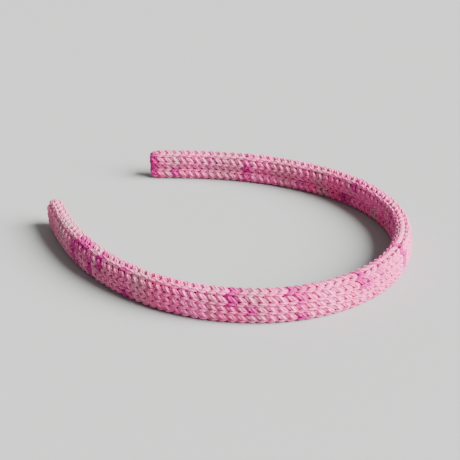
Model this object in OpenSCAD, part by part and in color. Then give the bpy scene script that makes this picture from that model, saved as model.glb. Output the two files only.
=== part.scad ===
// Knit-covered headband, lying on one edge: crown towards +X, open ends towards -X.
// Four tangent arcs on each side of the crown make the plan, and every layer is swept along them.

/* [Plan of the band] */
// Radius of the crown arc, at the middle of the thickness
crown_r = 58; // [54:1:64]
// Radius of the shoulder arc
shoulder_r = 73; // [66:1:80]
// Radius of the upper arm's arc
upper_arm_r = 110; // [100:1:124]
// Radius of the lower arm's arc
lower_arm_r = 150; // [130:5:180]
// Length of the straight end of each arm
end_len = 13; // [10:0.5:15]

/* [Flexing] */
// Angle from the middle of the crown to the line where an arm bends open
flex_deg = 35; // [28:1:40]
// Space left between soft layers on either side of that line
flex_gap = 1.5; // [1.4:0.1:2.2]
// Running clearance round the core's knuckle
knuckle_fit = 0.05; // [0.03:0.01:0.08]

/* [Core strip] */
// Width of the springy strip
core_w = 7; // [6:0.5:7]
// Thickness of the springy strip
core_t = 1.5; // [1.2:0.1:1.8]
// Space between a flex line and the end of the strip's crown
crown_lip = 0.15; // [0.1:0.01:0.2]
// Space between a flex line and the end of an arm's strip
arm_lip = 0.2; // [0.15:0.01:0.25]

/* [Wadding] */
// Thickness of the wadding wrapped round the strip
wadding_t = 0.8; // [0.6:0.1:0.9]
// Radius of the wadding's four long edges
wadding_edge_r = 1.2; // [1:0.1:1.3]

/* [Knitted tube] */
// Height of the tube as it stands on its edge
tube_h = 13; // [12.6:0.1:15]
// Thickness of the tube from its outer face to its inner face
tube_t = 7.4; // [7.4:0.1:8.4]
// Radius of the tube's four long edges
edge_r = 2.9; // [2.4:0.1:3.2]

/* [Seam and closed ends] */
// Height of the seam on the inner face
seam_z = 6; // [5:0.5:8]
// Width of the seam yarn
seam_w = 1.2; // [1:0.1:1.6]
// Depth of the groove that the seam is sewn in
seam_depth = 0.9; // [0.7:0.1:1.1]
// Width of the drawn-in yarn at each closed end
gather_w = 2.2; // [1.8:0.1:2.6]
// Height of the drawn-in yarn at each closed end
gather_h = 6; // [5:0.5:7]
// Depth of the drawn-in yarn at each closed end
gather_d = 1.5; // [1.3:0.1:1.6]
// Radius of the knot hidden inside each closed end
knot_r = 1; // [0.8:0.1:1]

/* [Hidden] */
$fn = 240;

// Space between neighbouring layers, and how far a cut runs past what it cuts
layer_gap = 0.1;
cut_extra = 1;

// Rounding of each closed end, and where it begins along the straight end
nose_r = 0.55 * tube_t;
nose_start = end_len - 1.2;

// Straight stretch of the strip and its wadding, short of the knot
knot_room = 2 * knot_r + 0.5;
core_len = end_len - knot_room;
core_tip_flat = core_len - core_w / 2;

// Outward direction at the start of each arc of the left (-Y) half and at its end.
// Each is a whole-number triangle's, so that tangent arcs meet exactly.
turns = [[1, 0], [0.6, -0.8], [0, -1], [-0.352, -0.936], [-0.5376, -0.8432]];
radii = [crown_r, shoulder_r, upper_arm_r, lower_arm_r];

// How far each arc is swept past its joint, in degrees, and the block that trims it there
spare_deg = 1.5;
trim_block = [20, 10, 20];

function along(outward) = [outward[1], -outward[0]];
function turn_deg(outward) = atan2(-outward[1], outward[0]);

// Centre of each arc, with the middle of the crown at [0, 0]
function arc_centre(i) = i == 0
    ? [-crown_r, 0]
    : arc_centre(i - 1) + (radii[i - 1] - radii[i]) * turns[i];
function joint_point(i) = arc_centre(i - 1) + radii[i - 1] * turns[i];

flex_point = arc_centre(0) + crown_r * [cos(flex_deg), -sin(flex_deg)];
nose_centre = joint_point(4) + nose_start * along(turns[4]);
centre_x = (tube_t / 2 + nose_centre[0] - nose_r) / 2;

// Angles on the crown arc between the flex line and the ends of the layers
gap_deg = flex_gap / 2 / crown_r * 180 / PI;
crown_lip_deg = crown_lip / crown_r * 180 / PI;
arm_lip_deg = arm_lip / crown_r * 180 / PI;
knuckle_r = core_t / 2 - knuckle_fit;

wadding_h = core_w + 2 * layer_gap + 2 * wadding_t;
wadding_w = core_t + 2 * layer_gap + 2 * wadding_t;
pocket_h = wadding_h + 2 * layer_gap;
pocket_t = wadding_w + 2 * layer_gap;

// Cross-sections: X across the band, Y up, centred on the middle of the tube
module rounded_section(t, h, r) {
    for (x = [-1, 1], y = [-1, 1])
        translate([x * (t / 2 - r), y * (h / 2 - r)])
            circle(r);
    square([t, h - 2 * r], center = true);
    square([t - 2 * r, h], center = true);
}

module core_section() {
    square([core_t, core_w], center = true);
}

module wadding_section() {
    difference() {
        rounded_section(wadding_w, wadding_h, wadding_edge_r);
        square([core_t + 2 * layer_gap, core_w + 2 * layer_gap], center = true);
    }
}

module seam_groove(clearance) {
    groove_w = seam_w + 2 * layer_gap;
    translate([-tube_t / 2 + (seam_depth - cut_extra) / 2, seam_z - tube_h / 2])
        square([seam_depth + cut_extra - 2 * clearance, groove_w - 2 * clearance], center = true);
}

module solid_tube_section() {
    difference() {
        rounded_section(tube_t, tube_h, edge_r);
        seam_groove(0);
    }
}

module pocket_section() {
    rounded_section(pocket_t, pocket_h, wadding_edge_r + layer_gap);
}

module sleeve_section() {
    difference() {
        solid_tube_section();
        pocket_section();
    }
}

module seam_section() {
    intersection() {
        rounded_section(tube_t, tube_h, edge_r);
        seam_groove(layer_gap);
    }
}

// Puts the middle of the tube at half its height, with the plan centred on the origin
module placed() {
    translate([-centre_x, 0, tube_h / 2])
        children();
}

// Frame at a joint of the left half: X outwards across the band, Y along it, Z up
module at_joint(i, distance = 0) {
    translate(joint_point(i) + distance * along(turns[i]))
        rotate(-turn_deg(turns[i]))
            mirror([0, 1, 0])
                children();
}

// A sweep round an arc's centre, from one angle to another, counted from the end of that arc.
// Only the exact turns above are rotations here, so that neighbouring arcs share their faces.
module arc_sweep(i, from_deg, to_deg) {
    translate(arc_centre(i))
        rotate(-turn_deg(turns[i + 1]))
            rotate_extrude(angle = to_deg - from_deg, start = -to_deg)
                translate([radii[i], 0])
                    children();
}

module crown_sweep(end_deg) {
    translate(arc_centre(0))
        rotate_extrude(angle = 2 * end_deg, start = -end_deg)
            translate([crown_r, 0])
                children();
}

// Removes what runs past a joint, on the side that the sign gives
module trim(i, side) {
    at_joint(i)
        translate([0, side * trim_block[1] / 2, 0])
            cube(trim_block, center = true);
}

// The left arm's layers from an angle on the crown's arc to the start of the straight end
module arm_sweep(from_deg) {
    difference() {
        arc_sweep(0, from_deg - turn_deg(turns[1]), spare_deg)
            children();
        trim(1, 1);
    }
    for (i = [1 : 3])
        difference() {
            arc_sweep(i, turn_deg(turns[i]) - turn_deg(turns[i + 1]) - spare_deg, spare_deg)
                children();
            trim(i, -1);
            trim(i + 1, 1);
        }
}

// A straight stretch of the same cross-section, running along Y
module straight_run(length) {
    rotate([-90, 0, 0])
        mirror([0, 1, 0])
            linear_extrude(length)
                children();
}

module knuckle(r, h) {
    translate(flex_point)
        cylinder(r = r, h = h, center = true);
}

module left_core() {
    arm_sweep(flex_deg + arm_lip_deg)
        core_section();
    at_joint(4)
        rotate([0, 90, 0])
            linear_extrude(core_t, center = true) {
                translate([0, core_tip_flat])
                    circle(d = core_w);
                translate([-core_w / 2, 0])
                    square([core_w, core_tip_flat]);
            }
    knuckle(knuckle_r, core_w);
}

module left_wadding() {
    arm_sweep(flex_deg + gap_deg)
        wadding_section();
    at_joint(4)
        straight_run(core_len)
            wadding_section();
}

// The straight end with its rounded nose
module closed_run() {
    at_joint(4)
        intersection() {
            straight_run(end_len + nose_r)
                children();
            linear_extrude(tube_h + 2 * cut_extra, center = true) {
                translate([-tube_t, 0])
                    square([2 * tube_t, nose_start]);
                translate([0, nose_start])
                    circle(nose_r);
            }
        }
}

// The slot in the nose for the drawn-in yarn
module gather_slot(clearance) {
    slot = [gather_w, 2 * gather_d, gather_h];
    at_joint(4, nose_start + nose_r)
        cube([for (side = slot) side - 2 * clearance], center = true);
}

module left_sleeve() {
    arm_sweep(flex_deg + gap_deg)
        sleeve_section();
    difference() {
        closed_run()
            solid_tube_section();
        at_joint(4, -cut_extra)
            straight_run(end_len + cut_extra)
                pocket_section();
        gather_slot(0);
    }
}

module left_seam() {
    arm_sweep(flex_deg + gap_deg)
        seam_section();
    closed_run()
        seam_section();
}

module left_gather() {
    intersection() {
        closed_run()
            solid_tube_section();
        gather_slot(layer_gap);
    }
}

module left_knot() {
    at_joint(4, end_len - knot_r - layer_gap)
        sphere(knot_r);
}

module right_side() {
    mirror([0, 1, 0])
        children();
}

module core_crown() {
    color("ivory") placed()
        difference() {
            crown_sweep(flex_deg - crown_lip_deg)
                core_section();
            knuckle(knuckle_r + knuckle_fit, core_w + 2 * cut_extra);
            right_side()
                knuckle(knuckle_r + knuckle_fit, core_w + 2 * cut_extra);
        }
}

module core_left_arm() {
    color("ivory") placed() left_core();
}

module core_right_arm() {
    color("ivory") placed() right_side() left_core();
}

module wadding_crown() {
    color("rosybrown") placed()
        crown_sweep(flex_deg - gap_deg)
            wadding_section();
}

module wadding_left_arm() {
    color("rosybrown") placed() left_wadding();
}

module wadding_right_arm() {
    color("rosybrown") placed() right_side() left_wadding();
}

module sleeve_crown() {
    color("pink") placed()
        crown_sweep(flex_deg - gap_deg)
            sleeve_section();
}

module sleeve_left_arm() {
    color("pink") placed() left_sleeve();
}

module sleeve_right_arm() {
    color("pink") placed() right_side() left_sleeve();
}

module seam_crown() {
    color("palevioletred") placed()
        crown_sweep(flex_deg - gap_deg)
            seam_section();
}

module seam_left_arm() {
    color("palevioletred") placed() left_seam();
}

module seam_right_arm() {
    color("palevioletred") placed() right_side() left_seam();
}

module bind_off_gather() {
    color("lightpink") placed() left_gather();
}

module cast_on_gather() {
    color("mediumvioletred") placed() right_side() left_gather();
}

module bind_off_knot() {
    color("lightpink") placed() left_knot();
}

module cast_on_knot() {
    color("mediumvioletred") placed() right_side() left_knot();
}

core_crown();
core_left_arm();
core_right_arm();
wadding_crown();
wadding_left_arm();
wadding_right_arm();
sleeve_crown();
sleeve_left_arm();
sleeve_right_arm();
seam_crown();
seam_left_arm();
seam_right_arm();
bind_off_gather();
cast_on_gather();
bind_off_knot();
cast_on_knot();
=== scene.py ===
import math
import random

import bmesh
import bpy
from mathutils import Matrix, Vector


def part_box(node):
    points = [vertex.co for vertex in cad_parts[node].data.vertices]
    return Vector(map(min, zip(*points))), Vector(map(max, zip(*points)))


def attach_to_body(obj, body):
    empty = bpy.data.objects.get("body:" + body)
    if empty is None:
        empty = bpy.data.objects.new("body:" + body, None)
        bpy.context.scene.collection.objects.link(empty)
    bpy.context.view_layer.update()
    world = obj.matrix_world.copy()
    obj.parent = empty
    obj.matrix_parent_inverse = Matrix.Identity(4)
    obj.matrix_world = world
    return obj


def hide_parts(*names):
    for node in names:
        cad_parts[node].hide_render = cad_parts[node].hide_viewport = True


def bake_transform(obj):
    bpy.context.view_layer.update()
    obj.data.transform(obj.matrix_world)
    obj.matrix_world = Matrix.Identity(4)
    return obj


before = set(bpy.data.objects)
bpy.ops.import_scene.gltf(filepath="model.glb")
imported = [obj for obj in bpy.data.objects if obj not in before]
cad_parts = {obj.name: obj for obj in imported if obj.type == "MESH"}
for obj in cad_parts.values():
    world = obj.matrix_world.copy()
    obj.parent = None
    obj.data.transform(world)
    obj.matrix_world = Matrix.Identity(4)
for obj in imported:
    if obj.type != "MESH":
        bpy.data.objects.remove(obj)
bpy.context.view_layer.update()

mm = 0.001
print("headband: frame loaded,", len(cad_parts), "nodes")

# The band's plan: arcs from the crown centre to the tip, the same on both arms
stripLow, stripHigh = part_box("core_crown")
bandPlan = {
    "stripThickness": 1.5 * mm,
    "arcs": ((58, 53.1301), (73, 36.8699), (110, 20.6097), (150, 11.912)),   # radius in mm, turn in degrees
    "halfRun": 187.38 * mm,                      # crown centre to tip along the middle line
}
crownX = stripHigh[0] - bandPlan["stripThickness"] / 2   # where the middle of the crown stands
middleZ = (stripLow[2] + stripHigh[2]) / 2


def bandAt(run):   # point, outward and forward directions at a signed run; the left arm is the minus side
    side = -1 if run < 0 else 1
    left, turn = abs(run), 0.0
    x, y = crownX, 0.0
    for radius, degrees in bandPlan["arcs"]:
        radius *= mm
        sweep = min(left / radius, math.radians(degrees))
        x += radius * (math.cos(turn + sweep) - math.cos(turn))
        y += radius * (math.sin(turn + sweep) - math.sin(turn))
        turn += sweep
        left -= sweep * radius
    x, y = x - left * math.sin(turn), y + left * math.cos(turn)
    outward = Vector((math.cos(turn), side * math.sin(turn), 0))
    forward = Vector((-math.sin(turn), side * math.cos(turn), 0))   # away from the crown
    return Vector((x, side * y, middleZ)), outward, forward


# The knitted tube: its size, its stitches and its tips
knit = {
    "height": 14.0 * mm, "thickness": 8.3 * mm,  # over the yarn, before the floor presses it flat
    "squareness": 2.8,                           # 2 is an ellipse
    "seamDrop": 1.0 * mm,                        # the seam lies this far below the middle
    "seamDip": 1.5 * mm, "seamReach": 1.45 * mm,   # how deep the seam's crease is, and how far it reaches
    "seamLeast": 0.2,                            # share of that depth that is left over a tip
    "lastShare": 0.99999,                        # a loop stays this side of the seam
    "sectionPoints": 720,
    "yarn": 1.72 * mm,                           # yarn diameter
    "wales": 8, "courses": 106,
    "crownCourses": 18,                          # from the crown's middle to each arm's piece
    "stepsPerStitch": 14,
    "legSpread": 0.285,                          # share of a wale that a loop swings sideways
    "loopReach": 0.80,                           # share of a course that a loop reaches each way
    "depth": 0.66 * mm,                          # legs stand forward and heads lie back by this
    "sides": 10, "plumpness": 0.12,              # facets round the yarn, and how much the legs swell
    "noseTurn": 72,                              # how far the last courses wrap over a tip, in degrees
    "noseExtra": 0.4 * mm,                       # a tip's radius is half the thickness and this
    "noseLow": 0.45,                             # how much height a tip loses
    "endSpare": 0.5 * mm,                        # how far the last loops may pass the fabric's edge
    "pullWander": 0.05, "leanWander": 0.04, "sizeWander": 0.02,   # how uneven the hand knitting is
    "seed": 11,
}


def sectionLoop(halfThick, halfHigh, power, drop, count):   # points round the tube, from seam to seam
    raw = []
    for k in range(count):
        a = 2 * math.pi * k / count
        c, s = math.cos(a), math.sin(a)
        n = -halfThick * math.copysign(abs(c) ** (2 / power), c)
        z = halfHigh * math.copysign(abs(s) ** (2 / power), s)
        raw.append((n, z))
    first = min((k for k in range(count) if raw[k][0] < 0), key=lambda k: abs(raw[k][1] + drop))
    raw = raw[first:] + raw[:first] + [raw[first]]
    lengths = [0.0]
    for p, q in zip(raw, raw[1:]):
        lengths.append(lengths[-1] + math.dist(p, q))
    return raw, lengths


halfThick = knit["thickness"] / 2 - knit["yarn"] / 2 - knit["depth"]
halfHigh = knit["height"] / 2 - knit["yarn"] / 2 - knit["depth"]
loopPoints, loopLengths = sectionLoop(halfThick, halfHigh, knit["squareness"], knit["seamDrop"],
                                      knit["sectionPoints"])
aroundLength = loopLengths[-1]


def sectionAt(share):   # point and outward normal on the section, 0 to 1 from seam to seam over the top
    want = (share % 1.0) * aroundLength
    low, high = 0, len(loopLengths) - 1
    while high - low > 1:
        mid = (low + high) // 2
        if loopLengths[mid] <= want:
            low = mid
        else:
            high = mid
    t = (want - loopLengths[low]) / (loopLengths[high] - loopLengths[low])
    n = loopPoints[low][0] * (1 - t) + loopPoints[high][0] * t
    z = loopPoints[low][1] * (1 - t) + loopPoints[high][1] * t
    power = knit["squareness"] - 1
    gn = math.copysign(abs(n / halfThick) ** power / halfThick, n)
    gz = math.copysign(abs(z / halfHigh) ** power / halfHigh, z)
    size = math.hypot(gn, gz)
    return n, z, gn / size, gz / size


noseRadius = halfThick + knit["noseExtra"]
noseStart = bandPlan["halfRun"] - knit["yarn"] / 2 - knit["depth"] - noseRadius
fabricHalf = noseStart + noseRadius * math.radians(knit["noseTurn"])
coursePitch = 2 * fabricHalf / knit["courses"]


def fabricPoint(along, share, lift):   # from a signed run, a share round the section and a height off it
    n, z, nn, nz = sectionAt(share)
    fromSeam = min(share % 1.0, 1 - share % 1.0) * aroundLength
    over = max(0.0, abs(along) - noseStart) / noseRadius
    crease = math.exp(-(fromSeam / knit["seamReach"]) ** 2) * max(knit["seamLeast"], 1 - over)
    lift = lift - knit["seamDip"] * crease
    run = min(abs(along), noseStart) + noseRadius * math.sin(over)
    centre, outward, forward = bandAt(math.copysign(run, along))
    thin, low = math.cos(over), 1 - knit["noseLow"] * (1 - math.cos(over))
    skin = centre + outward * (n * thin) + Vector((0, 0, z * low))
    normal = (outward * nn + Vector((0, 0, nz))) * math.cos(over) + forward * math.sin(over)
    return skin + normal * lift


# The yarn's colours: one hand-dyed strand, magenta where the dye was dropped
dye = {
    "palePink": (0.90, 0.165, 0.42), "midPink": (0.78, 0.065, 0.26), "greyWhite": (0.50, 0.24, 0.29),
    "magenta": (0.50, 0.001, 0.20),
    "shadeLength": 9, "fineLength": 1.7, "greyLength": 14,   # stitches between changes of shade
    "fineShare": 0.35, "greyShare": 0.75,        # how much the quick changes and the grey stretches show
    "toneContrast": 1.0, "toneMiddle": 0.48,     # how far the pink wanders, and about which mix
    "greyContrast": 3.2, "greyFrom": 0.656,      # how sharply a grey stretch begins, and how rare it is
    "fadeFrom": 78, "fadeFull": 88,              # the bind-off arm gets greyer between these courses
    "fadeShare": 0.42,
    "dropReach": 0.95, "dropFill": 1.8,          # stitches a drop spreads each way, and how evenly
    "dropStrength": 1.25,
    "seed": 23,
    # course, wale, strength: where the drops fell
    "drops": (
        (0, 0, 0.7), (0, 1, 0.8), (0, 7, 0.8), (1, 0, 0.4), (4, 1, 0.3), (4, 0, 0.25), (8, 1, 0.35),
        (13, 2, 0.5), (13, 1, 0.35), (13, 0, 0.85), (13, 7, 0.6), (30, 1, 0.7), (30, 2, 0.5), (37, 0, 0.4),
        (49, 2, 1.0), (49, 3, 0.9), (49, 4, 0.7), (54, 2, 0.45), (54, 3, 0.4), (55, 5, 0.5),
        (57, 2, 1.0), (57, 3, 1.0), (56, 3, 0.6), (64, 2, 0.45), (65, 2, 1.0), (64, 3, 0.6), (64, 5, 0.8),
        (69, 4, 0.75), (70, 2, 0.35), (71, 2, 0.9), (71, 3, 0.85), (77, 5, 0.35), (84, 2, 0.6),
        (83, 5, 0.4), (84, 5, 0.9), (88, 2, 0.9), (88, 3, 0.9), (90, 3, 0.6), (90, 4, 0.9), (90, 5, 0.7),
        (91, 2, 0.8), (91, 3, 0.45), (92, 2, 0.9), (93, 3, 0.6), (93, 2, 0.9), (94, 3, 1.0), (94, 4, 0.9),
        (93, 5, 0.6), (102, 4, 0.35),
    ),
    "strayDrops": 14, "strayWales": (0, 6, 7), "strayStrength": (0.4, 0.9),   # on the inner and lower faces
}


def smoothNoise(rng, length, step):   # a slow wander from 0 to 1 along a strand
    knots = [rng.random() for _ in range(int(length / step) + 3)]

    def at(x):
        k = int(x / step)
        t = x / step - k
        t = t * t * (3 - 2 * t)
        return knots[k] * (1 - t) + knots[k + 1] * t
    return at


def mix(a, b, t):
    return tuple(p + (q - p) * t for p, q in zip(a, b))


stitchCount = knit["wales"] * knit["courses"]
dyeRandom = random.Random(dye["seed"])
pinkWander = smoothNoise(dyeRandom, stitchCount, dye["shadeLength"])
fineWander = smoothNoise(dyeRandom, stitchCount, dye["fineLength"])
greyWander = smoothNoise(dyeRandom, stitchCount, dye["greyLength"])
drops = {(c, w): s for c, w, s in dye["drops"]}
for _ in range(dye["strayDrops"]):
    spot = (dyeRandom.randrange(knit["courses"]), dyeRandom.choice(dye["strayWales"]))
    drops.setdefault(spot, dyeRandom.uniform(*dye["strayStrength"]))


def yarnTint(course, place):   # place counts stitches along the course from the seam over the top
    inRow = place if course % 2 == 0 else knit["wales"] - place
    x = min(max(course * knit["wales"] + inRow, 0), stitchCount)
    tone = (1 - dye["fineShare"]) * pinkWander(x) + dye["fineShare"] * fineWander(x)
    tone = dye["toneMiddle"] + dye["toneContrast"] * (tone - 0.5)
    colour = mix(dye["palePink"], dye["midPink"], min(1, max(0, tone)))
    grey = dye["greyShare"] * min(1, max(0, dye["greyContrast"] * (greyWander(x) - dye["greyFrom"])))
    fade = min(1, max(0, (course - dye["fadeFrom"]) / (dye["fadeFull"] - dye["fadeFrom"])))
    colour = mix(colour, dye["greyWhite"], max(grey, dye["fadeShare"] * fade))
    strength = 0.0
    for wale in range(int(place) - 1, int(place) + 2):
        drop = drops.get((course, wale), 0.0)
        if drop:
            near = max(0.0, 1 - abs(place - wale - 0.5) / dye["dropReach"])
            strength = max(strength, min(1, drop * dye["dropStrength"]) * min(1, dye["dropFill"] * near))
    return mix(colour, dye["magenta"], strength)


# Tools for yarn
def closedProfile(name, spots):   # the outline of a strand's or bar's section
    curve = bpy.data.curves.new(name, "CURVE")
    curve.dimensions = "2D"
    spline = curve.splines.new("POLY")
    spline.points.add(len(spots) - 1)
    for p, spot in zip(spline.points, spots):
        p.co = (*spot, 0, 1)
    spline.use_cyclic_u = True
    holder = bpy.data.objects.new(name, curve)
    bpy.context.scene.collection.objects.link(holder)
    holder.hide_render = True
    return holder


def ringProfile(name, radius, sides):   # a yarn's cross-section
    turns = [2 * math.pi * k / sides for k in range(sides)]
    return closedProfile(name, [(radius * math.cos(a), radius * math.sin(a)) for a in turns])


def layStrand(name, points, profile, sizes=None, closed=False):   # a strand along points, as a mesh
    curve = bpy.data.curves.new(name + "Path", "CURVE")
    curve.dimensions = "3D"
    curve.bevel_mode = "OBJECT"
    curve.bevel_object = profile
    curve.use_fill_caps = not closed
    spline = curve.splines.new("POLY")
    spline.points.add(len(points) - 1)
    for k, p in enumerate(spline.points):
        p.co = (*points[k], 1)
        p.radius = sizes[k] if sizes else 1.0
    spline.use_cyclic_u = closed
    holder = bpy.data.objects.new(name + "Path", curve)
    bpy.context.scene.collection.objects.link(holder)
    shaped = holder.evaluated_get(bpy.context.evaluated_depsgraph_get())
    mesh = bpy.data.meshes.new_from_object(shaped)
    mesh.name = name
    bpy.data.objects.remove(holder)
    bm = bmesh.new()
    bm.from_mesh(mesh)
    bmesh.ops.recalc_face_normals(bm, faces=bm.faces)
    for face in bm.faces:
        face.smooth = True
    bm.to_mesh(mesh)
    bm.free()
    piece = bpy.data.objects.new(name, mesh)
    bpy.context.scene.collection.objects.link(piece)
    return piece


def runningLengths(points):   # mm of yarn from the start to each point
    lengths = [0.0]
    for p, q in zip(points, points[1:]):
        lengths.append(lengths[-1] + (q - p).length / mm)
    return lengths


def paintStrand(piece, ringSize, tints, lengths):   # colour and place along the yarn, ring by ring
    mesh = piece.data
    colour = mesh.attributes.new("yarnColour", "FLOAT_COLOR", "POINT")
    roll = mesh.attributes.new("yarnRoll", "FLOAT_VECTOR", "POINT")
    colours, rolls = [], []
    for k in range(len(mesh.vertices)):
        ring, spoke = divmod(k, ringSize)
        ring = min(ring, len(tints) - 1)
        a = 2 * math.pi * spoke / ringSize
        colours += [*tints[ring], 1.0]
        rolls += [math.cos(a), math.sin(a), lengths[ring]]
    colour.data.foreach_set("color", colours)
    roll.data.foreach_set("vector", rolls)


# Materials
def startMaterial(name):
    material = bpy.data.materials.new(name)
    material.use_nodes = True
    nodes = material.node_tree.nodes
    return material, nodes, material.node_tree.links, nodes["Principled BSDF"]


def mathNode(nodes, links, operation, first, second=None):
    node = nodes.new("ShaderNodeMath")
    node.operation = operation
    for slot, value in enumerate((first, second)):
        if isinstance(value, (int, float)):
            node.inputs[slot].default_value = value
        elif value is not None:
            links.new(value, node.inputs[slot])
    return node.outputs["Value"]


def rangeNode(nodes, links, value, low, high, toLow, toHigh):
    node = nodes.new("ShaderNodeMapRange")
    links.new(value, node.inputs["Value"])
    for socket, number in (("From Min", low), ("From Max", high), ("To Min", toLow), ("To Max", toHigh)):
        node.inputs[socket].default_value = number
    return node.outputs["Result"]


def makeYarnMaterial():
    look = {
        "plies": 4, "plyPitch": 6.2,             # strands twisted together, mm of yarn for one turn
        "plyGroovePaintedShade": 0.76, "plyDepth": 0.34 * mm, "plyHeight": 0.5,
        "plyDark": -1, "plyLight": 0.4,          # the twist's own heights, from the deepest painted shade in a groove to full colour
        "grain": 3.2, "grainDetail": 3,
        "grainStretch": (3.0, 3.0, 1.1),         # fibres run along the yarn, so the grain is long that way
        "grainLow": 0.3, "grainHigh": 0.7,       # noise values of the darkest and the palest fibres
        "fibreShade": 0.12, "fibreBump": 0.10 * mm,
        "roughness": 0.9, "sheen": 0.10, "sheenRoughness": 0.5, "specular": 0.2,
    }
    material, nodes, links, shader = startMaterial("handDyedYarn")
    tint = nodes.new("ShaderNodeAttribute")
    tint.attribute_name = "yarnColour"
    roll = nodes.new("ShaderNodeAttribute")
    roll.attribute_name = "yarnRoll"
    parts = nodes.new("ShaderNodeSeparateXYZ")
    links.new(roll.outputs["Vector"], parts.inputs["Vector"])
    turn = mathNode(nodes, links, "ARCTAN2", parts.outputs["Y"], parts.outputs["X"])
    turns = mathNode(nodes, links, "MULTIPLY", turn, look["plies"])
    twistRate = 2 * math.pi * look["plies"] / look["plyPitch"]
    twist = mathNode(nodes, links, "MULTIPLY", parts.outputs["Z"], twistRate)
    ply = mathNode(nodes, links, "SINE", mathNode(nodes, links, "ADD", turns, twist))
    stretch = nodes.new("ShaderNodeMapping")
    stretch.inputs["Scale"].default_value = look["grainStretch"]
    grain = nodes.new("ShaderNodeTexNoise")
    grain.inputs["Scale"].default_value = look["grain"]
    grain.inputs["Detail"].default_value = look["grainDetail"]
    links.new(roll.outputs["Vector"], stretch.inputs["Vector"])
    links.new(stretch.outputs["Vector"], grain.inputs["Vector"])
    fibre = rangeNode(nodes, links, grain.outputs["Fac"], look["grainLow"], look["grainHigh"],
                      1 - look["fibreShade"], 1 + look["fibreShade"] / 2)
    # painted shade: the yarn's colour is darkened along the grooves between the twisted plies
    paintedGrooveShade = rangeNode(nodes, links, ply, look["plyDark"], look["plyLight"], look["plyGroovePaintedShade"], 1)
    tone = nodes.new("ShaderNodeVectorMath")
    tone.operation = "SCALE"
    links.new(tint.outputs["Color"], tone.inputs[0])
    links.new(mathNode(nodes, links, "MULTIPLY", fibre, paintedGrooveShade), tone.inputs["Scale"])
    links.new(tone.outputs["Vector"], shader.inputs["Base Color"])
    plyBump = nodes.new("ShaderNodeBump")
    plyBump.inputs["Distance"].default_value = look["plyDepth"]
    links.new(mathNode(nodes, links, "MULTIPLY", ply, look["plyHeight"]), plyBump.inputs["Height"])
    fibreBump = nodes.new("ShaderNodeBump")
    fibreBump.inputs["Distance"].default_value = look["fibreBump"]
    links.new(grain.outputs["Fac"], fibreBump.inputs["Height"])
    links.new(plyBump.outputs["Normal"], fibreBump.inputs["Normal"])
    links.new(fibreBump.outputs["Normal"], shader.inputs["Normal"])
    shader.inputs["Roughness"].default_value = look["roughness"]
    shader.inputs["Sheen Weight"].default_value = look["sheen"]
    shader.inputs["Sheen Roughness"].default_value = look["sheenRoughness"]
    shader.inputs["Specular IOR Level"].default_value = look["specular"]
    return material


def makeGrainyMaterial(name, look):   # one noise mixes two colours and roughens the surface
    material, nodes, links, shader = startMaterial(name)
    where = nodes.new("ShaderNodeTexCoord")
    grain = nodes.new("ShaderNodeTexNoise")
    grain.inputs["Scale"].default_value = look["grain"]
    grain.inputs["Detail"].default_value = look["detail"]
    links.new(where.outputs["Object"], grain.inputs["Vector"])
    ramp = nodes.new("ShaderNodeValToRGB")
    ramp.color_ramp.elements[0].color = (*look["dark"], 1)
    ramp.color_ramp.elements[1].color = (*look["pale"], 1)
    links.new(grain.outputs["Fac"], ramp.inputs["Fac"])
    links.new(ramp.outputs["Color"], shader.inputs["Base Color"])
    bump = nodes.new("ShaderNodeBump")
    bump.inputs["Strength"].default_value = look["bump"]
    bump.inputs["Distance"].default_value = look["bumpDepth"]
    links.new(grain.outputs["Fac"], bump.inputs["Height"])
    links.new(bump.outputs["Normal"], shader.inputs["Normal"])
    shader.inputs["Roughness"].default_value = look["roughness"]
    shader.inputs["Sheen Weight"].default_value = look["sheen"]
    return material


# the wadding is a real layer, but its near-black wine colour is painted shade: it darkens the gaps between
# the stitches
waddingShadeLook = {
    "dark": (0.05, 0.003, 0.008), "pale": (0.13, 0.010, 0.025),
    "grain": 1400, "detail": 4, "bump": 0.6, "bumpDepth": 0.3 * mm,
    "roughness": 0.95, "sheen": 0.2,
}
stripLook = {
    "dark": (0.60, 0.54, 0.43), "pale": (0.72, 0.66, 0.54),
    "grain": 220, "detail": 5, "bump": 0.15, "bumpDepth": 0.05 * mm,
    "roughness": 0.5, "sheen": 0.0,
}
yarnMaterial = makeYarnMaterial()
waddingShadeMaterial = makeGrainyMaterial("waddingPaintedShade", waddingShadeLook)
stripMaterial = makeGrainyMaterial("springStripPlastic", stripLook)
for name in ("core_crown", "core_left_arm", "core_right_arm"):
    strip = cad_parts[name]
    strip.data.materials.clear()
    strip.data.materials.append(stripMaterial)
print("yarn, wadding and strip materials mixed")

# Where each piece of the long tube goes: its courses from the cast-on end, its bodies
middleCourse = knit["courses"] // 2
rightSplit, leftSplit = middleCourse - knit["crownCourses"], middleCourse + knit["crownCourses"]
bandStretches = {
    "RightArm": {"courses": (0, rightSplit), "body": "right_arm"},
    "RightCrown": {"courses": (rightSplit, middleCourse), "body": "crown", "arm": "right_arm"},
    "LeftCrown": {"courses": (middleCourse, leftSplit), "body": "crown", "arm": "left_arm"},
    "LeftArm": {"courses": (leftSplit, knit["courses"]), "body": "left_arm"},
}
bendZone = {"from": 17 * mm, "to": 53 * mm}      # runs between which the band bends


def attach(piece, stretch):   # an arm's piece rides its arm; a crown piece is attached to no body and its place is baked into its mesh, the bend zone's ends being found but not used
    if "arm" not in stretch:
        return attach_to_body(piece, stretch["body"])
    side = -1 if stretch["arm"] == "left_arm" else 1
    start, end = bandAt(side * bendZone["from"])[0], bandAt(side * bendZone["to"])[0]
    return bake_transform(piece)


def cadNode(kind, stretch):   # the CAD node that a stretch of one of the long pieces stands for
    return kind + "_" + stretch["body"]


# The tube's yarn, laid in loops from the cast-on end to the bind-off end
yarnProfile = ringProfile("yarnProfile", knit["yarn"] / 2, knit["sides"])


def courseMiddle(course):   # the run at the middle of a course
    return fabricHalf - (course + 0.5) * coursePitch


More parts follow.
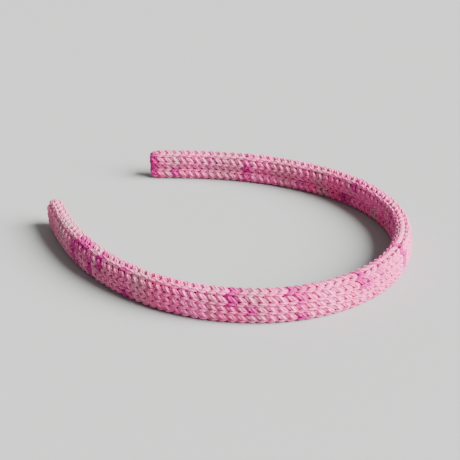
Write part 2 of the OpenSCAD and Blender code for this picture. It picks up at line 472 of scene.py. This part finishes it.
def knitStretch(name, stretch):   # one strand, laid back and forth course by course
    rng = random.Random(knit["seed"] + stretch["courses"][0])
    points, tints, sizes = [], [], []
    steps = knit["stepsPerStitch"]
    for course in range(*stretch["courses"]):
        onward = course % 2 == 0
        for k in range(knit["wales"] * steps + 1):
            t = 2 * math.pi * k / steps
            if k % steps == 0:
                pull = rng.uniform(-1, 1) * knit["pullWander"]
                lean = rng.uniform(-1, 1) * knit["leanWander"]
            across = k / steps + knit["legSpread"] * math.sin(2 * t) + 0.5 * lean * math.sin(t)
            place = across if onward else knit["wales"] - across
            reach = knit["loopReach"] * coursePitch * (1 + pull)
            along = courseMiddle(course) + reach * math.cos(t)   # heads point to the bind-off end
            along = max(-fabricHalf - knit["endSpare"], min(fabricHalf + knit["endSpare"], along))
            share = min(max(place / knit["wales"], 0.0), knit["lastShare"])
            tints.append(yarnTint(course, place))
            uneven = rng.uniform(-1, 1) * knit["sizeWander"]
            sizes.append(1 - knit["plumpness"] * math.cos(2 * t) + uneven)
            spot = fabricPoint(along, share, -knit["depth"] * math.cos(2 * t))
            spot.z = max(spot.z, sizes[-1] * knit["yarn"] / 2)   # the tube is pressed flat where it lies
            points.append(spot)
    piece = layStrand(name, points, yarnProfile, sizes)
    paintStrand(piece, knit["sides"], tints, runningLengths(points))
    piece.data.materials.append(yarnMaterial)
    return piece


for where, stretch in bandStretches.items():
    piece = knitStretch("knit" + where, stretch)
    attach(piece, stretch)
    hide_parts(cadNode("sleeve", stretch))
    print("knitted", where, len(piece.data.vertices), "vertices", len(piece.data.polygons), "faces")

# The wadding under the knit, with a slot through it for the strip
wadding = {
    "thickness": 4.4 * mm, "height": 9.8 * mm, "corner": 1.6 * mm,
    "slotThickness": 2.4 * mm, "slotHeight": 7.4 * mm, "slotCorner": 0.2 * mm,
    "stationEvery": 3 * mm,                      # the most between two sections along it
    "tipRun": bandPlan["halfRun"] - 4.98 * mm,   # just past the strip's tip
    "tipWall": 0.3 * mm,                         # wadding past the slot's end
    "tipTaper": 0.7, "taperRun": 4 * mm,         # it narrows to this share over this length
    "rimFinder": 0.05 * mm,                      # what lies this near an open end is its rim
}


def barProfile(name, thick, high, corner, arcSteps=4):   # a rounded bar's cross-section
    spots = []
    for sideX, sideY, start in ((1, 1, 0), (-1, 1, 90), (-1, -1, 180), (1, -1, 270)):
        for k in range(arcSteps + 1):
            a = math.radians(start + 90 * k / arcSteps)
            middleX, middleY = sideX * (thick / 2 - corner), sideY * (high / 2 - corner)
            spots.append((middleX + corner * math.cos(a), middleY + corner * math.sin(a)))
    return closedProfile(name, spots)


waddingProfile = barProfile("waddingProfile", wadding["thickness"], wadding["height"], wadding["corner"])
slotProfile = barProfile("slotProfile", wadding["slotThickness"], wadding["slotHeight"],
                         wadding["slotCorner"])
splitRun = knit["crownCourses"] * coursePitch


def evenRuns(low, high, step):   # evenly spaced runs, with both ends
    count = int(abs(high - low) / step) + 2
    return [low + (high - low) * k / (count - 1) for k in range(count)]


def makeWadding(name, low, high):   # from the run nearer the crown to the one nearer the tip
    closed = abs(high) > wadding["tipRun"] - mm   # an arm's wadding is closed at its tip
    runs = evenRuns(low, high, wadding["stationEvery"])
    if closed:
        side = math.copysign(1, high)
        runs = runs[:-1] + [side * (wadding["tipRun"] - wadding["taperRun"] / 4), high]
    sizes = []
    for run in runs:
        nearTip = max(0, 1 - (wadding["tipRun"] - abs(run)) / wadding["taperRun"])
        sizes.append(1 - (1 - wadding["tipTaper"]) * nearTip ** 3)
    outer = layStrand(name, [bandAt(run)[0] for run in runs], waddingProfile, sizes)
    slotEnd = high - math.copysign(wadding["tipWall"], high) if closed else high
    slotRuns = evenRuns(low, slotEnd, wadding["stationEvery"])
    slot = layStrand(name + "Slot", [bandAt(run)[0] for run in slotRuns], slotProfile)
    bm = bmesh.new()
    bm.from_mesh(slot.data)
    bmesh.ops.reverse_faces(bm, faces=bm.faces)
    bm.from_mesh(outer.data)
    openEnds = [low] if closed else [low, high]
    for run in openEnds:
        spot, _, forward = bandAt(run)

        def atEnd(place):
            return abs((place - spot).dot(forward)) < wadding["rimFinder"]

        # only the end caps have more than four corners
        caps = [f for f in bm.faces if len(f.verts) > 4 and atEnd(f.calc_center_median())]
        bmesh.ops.delete(bm, geom=caps, context="FACES_ONLY")
        rim = [e for e in bm.edges if e.is_boundary and all(atEnd(v.co) for v in e.verts)]
        bmesh.ops.bridge_loops(bm, edges=rim)
    for face in bm.faces:
        face.smooth = True
    bm.to_mesh(outer.data)
    bm.free()
    bpy.data.objects.remove(slot)
    return outer


for where, stretch in bandStretches.items():
    side = -1 if "Left" in where else 1
    low, high = (splitRun, wadding["tipRun"]) if "Arm" in where else (0.0, splitRun)
    piece = makeWadding("wadding" + where, side * low, side * high)
    piece.data.materials.append(waddingShadeMaterial)
    attach(piece, stretch)
    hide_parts(cadNode("wadding", stretch))
print("wadding made")

# The yarn that sews the seam, in a ladder along the crease of the inner face
seam = {
    "yarn": 0.95 * mm, "sides": 8, "stepsPerCourse": 6,
    "reach": 0.95 * mm,                          # to each side of the crease
    "lift": 0.35 * mm, "wave": 0.25 * mm,        # its height over the crease, and how that rises and falls
    "tint": (0.60, 0.07, 0.19), "paler": 0.25,   # its colour, and how far that wanders to the pale pink
    "seed": 5,
}
seamProfile = ringProfile("seamProfile", seam["yarn"] / 2, seam["sides"])
seamRandom = random.Random(seam["seed"])
for where, stretch in bandStretches.items():
    first, last = stretch["courses"]
    points, tints = [], []
    for k in range((last - first) * seam["stepsPerCourse"] + 1):
        course = first + k / seam["stepsPerCourse"]
        across = seam["reach"] * math.sin(math.pi * course)
        lift = seam["lift"] + seam["wave"] * abs(math.cos(math.pi * course))
        along = fabricHalf - course * coursePitch
        points.append(fabricPoint(along, across / aroundLength, lift))
        tints.append(mix(seam["tint"], dye["palePink"], seamRandom.uniform(0, seam["paler"])))
    piece = layStrand("seamYarn" + where, points, seamProfile)
    paintStrand(piece, seam["sides"], tints, runningLengths(points))
    piece.data.materials.append(yarnMaterial)
    attach(piece, stretch)
    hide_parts(cadNode("seam", stretch))
print("seam sewn")

# The drawn-in ends and their knots
gather = {
    "yarn": 1.15 * mm, "sides": 8, "turns": 2, "steps": 96,
    "fromTurn": 66, "toTurn": 84,                # degrees over the tip where it starts and ends
    "start": 0.06,                               # share round the section where it starts
    "lift": 0.35 * mm, "wave": 0.22 * mm, "stitches": 8,   # it rises and falls once for each stitch
}
knot = {
    "yarn": 0.55 * mm, "sides": 8, "steps": 60,
    "size": 0.24 * mm, "depth": 1.2,             # its scale, and how much deeper than flat it is
    "run": bandPlan["halfRun"] - 3.98 * mm,
}
gatherProfile = ringProfile("gatherProfile", gather["yarn"] / 2, gather["sides"])
knotProfile = ringProfile("knotProfile", knot["yarn"] / 2, knot["sides"])


def finishStrand(name, points, profile, sides, tint, closed):   # a strand of one colour
    piece = layStrand(name, points, profile, closed=closed)
    paintStrand(piece, sides, [tint] * len(points), runningLengths(points))
    piece.data.materials.append(yarnMaterial)
    return piece


def drawnEnd(name, side, tint):   # the strand that gathers a tip's last loops
    points = []
    for k in range(gather["steps"] + 1):
        t = k / gather["steps"]
        over = math.radians(gather["fromTurn"] + (gather["toTurn"] - gather["fromTurn"]) * t)
        place = gather["start"] + gather["turns"] * t
        lift = gather["lift"] + gather["wave"] * math.cos(2 * math.pi * gather["stitches"] * place)
        points.append(fabricPoint(side * (noseStart + noseRadius * over), place, lift))
    return finishStrand(name, points, gatherProfile, gather["sides"], tint, closed=False)


def yarnKnot(name, side, tint):   # a small overhand knot tucked inside the tip
    centre, outward, forward = bandAt(side * knot["run"])
    points = []
    for k in range(knot["steps"]):
        t = 2 * math.pi * k / knot["steps"]
        a, b, c = math.sin(t) + 2 * math.sin(2 * t), math.cos(t) - 2 * math.cos(2 * t), -math.sin(3 * t)
        turned = outward * c * knot["depth"] + forward * b + Vector((0, 0, a))
        points.append(centre + turned * knot["size"])
    return finishStrand(name, points, knotProfile, knot["sides"], tint, closed=True)


# piece, node, side, body, slot and colour of the yarn at each tip
tipYarns = (
    ("bindOff", "bind_off", -1, "left_arm", "gather_yarn", (0.78, 0.17, 0.34)),
    ("castOn", "cast_on", 1, "right_arm", "cast_on_yarn", (0.66, 0.03, 0.24)),
)
for name, node, side, body, slotName, tint in tipYarns:
    gathered = drawnEnd(name + "Gather", side, tint)
    knotted = yarnKnot(name + "Knot", side, tint)
    for piece, part in ((gathered, "_gather"), (knotted, "_knot")):
        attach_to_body(piece, body)
        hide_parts(node + part)
print("tips gathered and knotted")

# Floor, light and camera
studio = {
    "floorSize": 60.0, "floorColour": (0.36, 0.364, 0.357), "floorRoughness": 0.7,
    "skyColour": (1.0, 1.0, 1.0),
    "wallStrength": 1.15, "ceilingStrength": 0.26,   # bright round the horizon, dimmer overhead
    "wallTop": 0.17, "ceilingFrom": 0.30,        # sines of the heights between which it changes
    "keyStrength": 18.5, "keyAngle": 45,         # a sun's strength, and its width in degrees
    "keyRight": 0.95, "keyBack": 0.4, "keyUp": 0.5,   # where it stands, as the camera sees it
}
view = {
    "azimuth": 37.99, "elevation": 26.232, "roll": 1.549, "distance": 464.5 * mm,
    "target": (0.56 * mm, -3.57 * mm, 6.5 * mm), "sensor": 36.0, "lens": 86.70,
}

floorMesh = bpy.data.meshes.new("floor")
bm = bmesh.new()
bmesh.ops.create_grid(bm, x_segments=1, y_segments=1, size=studio["floorSize"] / 2)
bm.to_mesh(floorMesh)
bm.free()
floor = bpy.data.objects.new("floor", floorMesh)
bpy.context.scene.collection.objects.link(floor)
floorMaterial, _, _, shader = startMaterial("paleFloor")
shader.inputs["Base Color"].default_value = (*studio["floorColour"], 1)
shader.inputs["Roughness"].default_value = studio["floorRoughness"]
floorMesh.materials.append(floorMaterial)

world = bpy.data.worlds.new("softSky")
bpy.context.scene.world = world
world.use_nodes = True
nodes, links = world.node_tree.nodes, world.node_tree.links
sky = nodes["Background"]
sky.inputs["Color"].default_value = (*studio["skyColour"], 1)
lookAt = nodes.new("ShaderNodeTexCoord")
height = nodes.new("ShaderNodeSeparateXYZ")
links.new(lookAt.outputs["Generated"], height.inputs["Vector"])
strength = rangeNode(nodes, links, height.outputs["Z"], studio["wallTop"], studio["ceilingFrom"],
                     studio["wallStrength"], studio["ceilingStrength"])
links.new(strength, sky.inputs["Strength"])

azimuth, elevation, roll = (math.radians(view[k]) for k in ("azimuth", "elevation", "roll"))
level, rise = math.cos(elevation), math.sin(elevation)
back = Vector((math.sin(azimuth) * level, -math.cos(azimuth) * level, rise))   # from the band to the camera
right = Vector((math.cos(azimuth), math.sin(azimuth), 0))
up = back.cross(right)

key = bpy.data.lights.new("keyLight", "SUN")
key.energy, key.angle = studio["keyStrength"], math.radians(studio["keyAngle"])
keyFrom = right * studio["keyRight"] + back * studio["keyBack"] + Vector((0, 0, studio["keyUp"]))
keyLight = bpy.data.objects.new("keyLight", key)
keyLight.rotation_euler = keyFrom.to_track_quat("Z", "Y").to_euler()
bpy.context.scene.collection.objects.link(keyLight)

camera = bpy.data.objects.new("camera", bpy.data.cameras.new("camera"))
bpy.context.scene.collection.objects.link(camera)
camera.data.sensor_width, camera.data.lens = view["sensor"], view["lens"]
rightTilted = right * math.cos(roll) - up * math.sin(roll)
upTilted = right * math.sin(roll) + up * math.cos(roll)
place = Matrix((rightTilted, upTilted, back)).transposed().to_4x4()
place.translation = Vector(view["target"]) + back * view["distance"]
camera.matrix_world = place
bpy.context.scene.camera = camera
print("floor, light and camera set")

print("headband: finished")
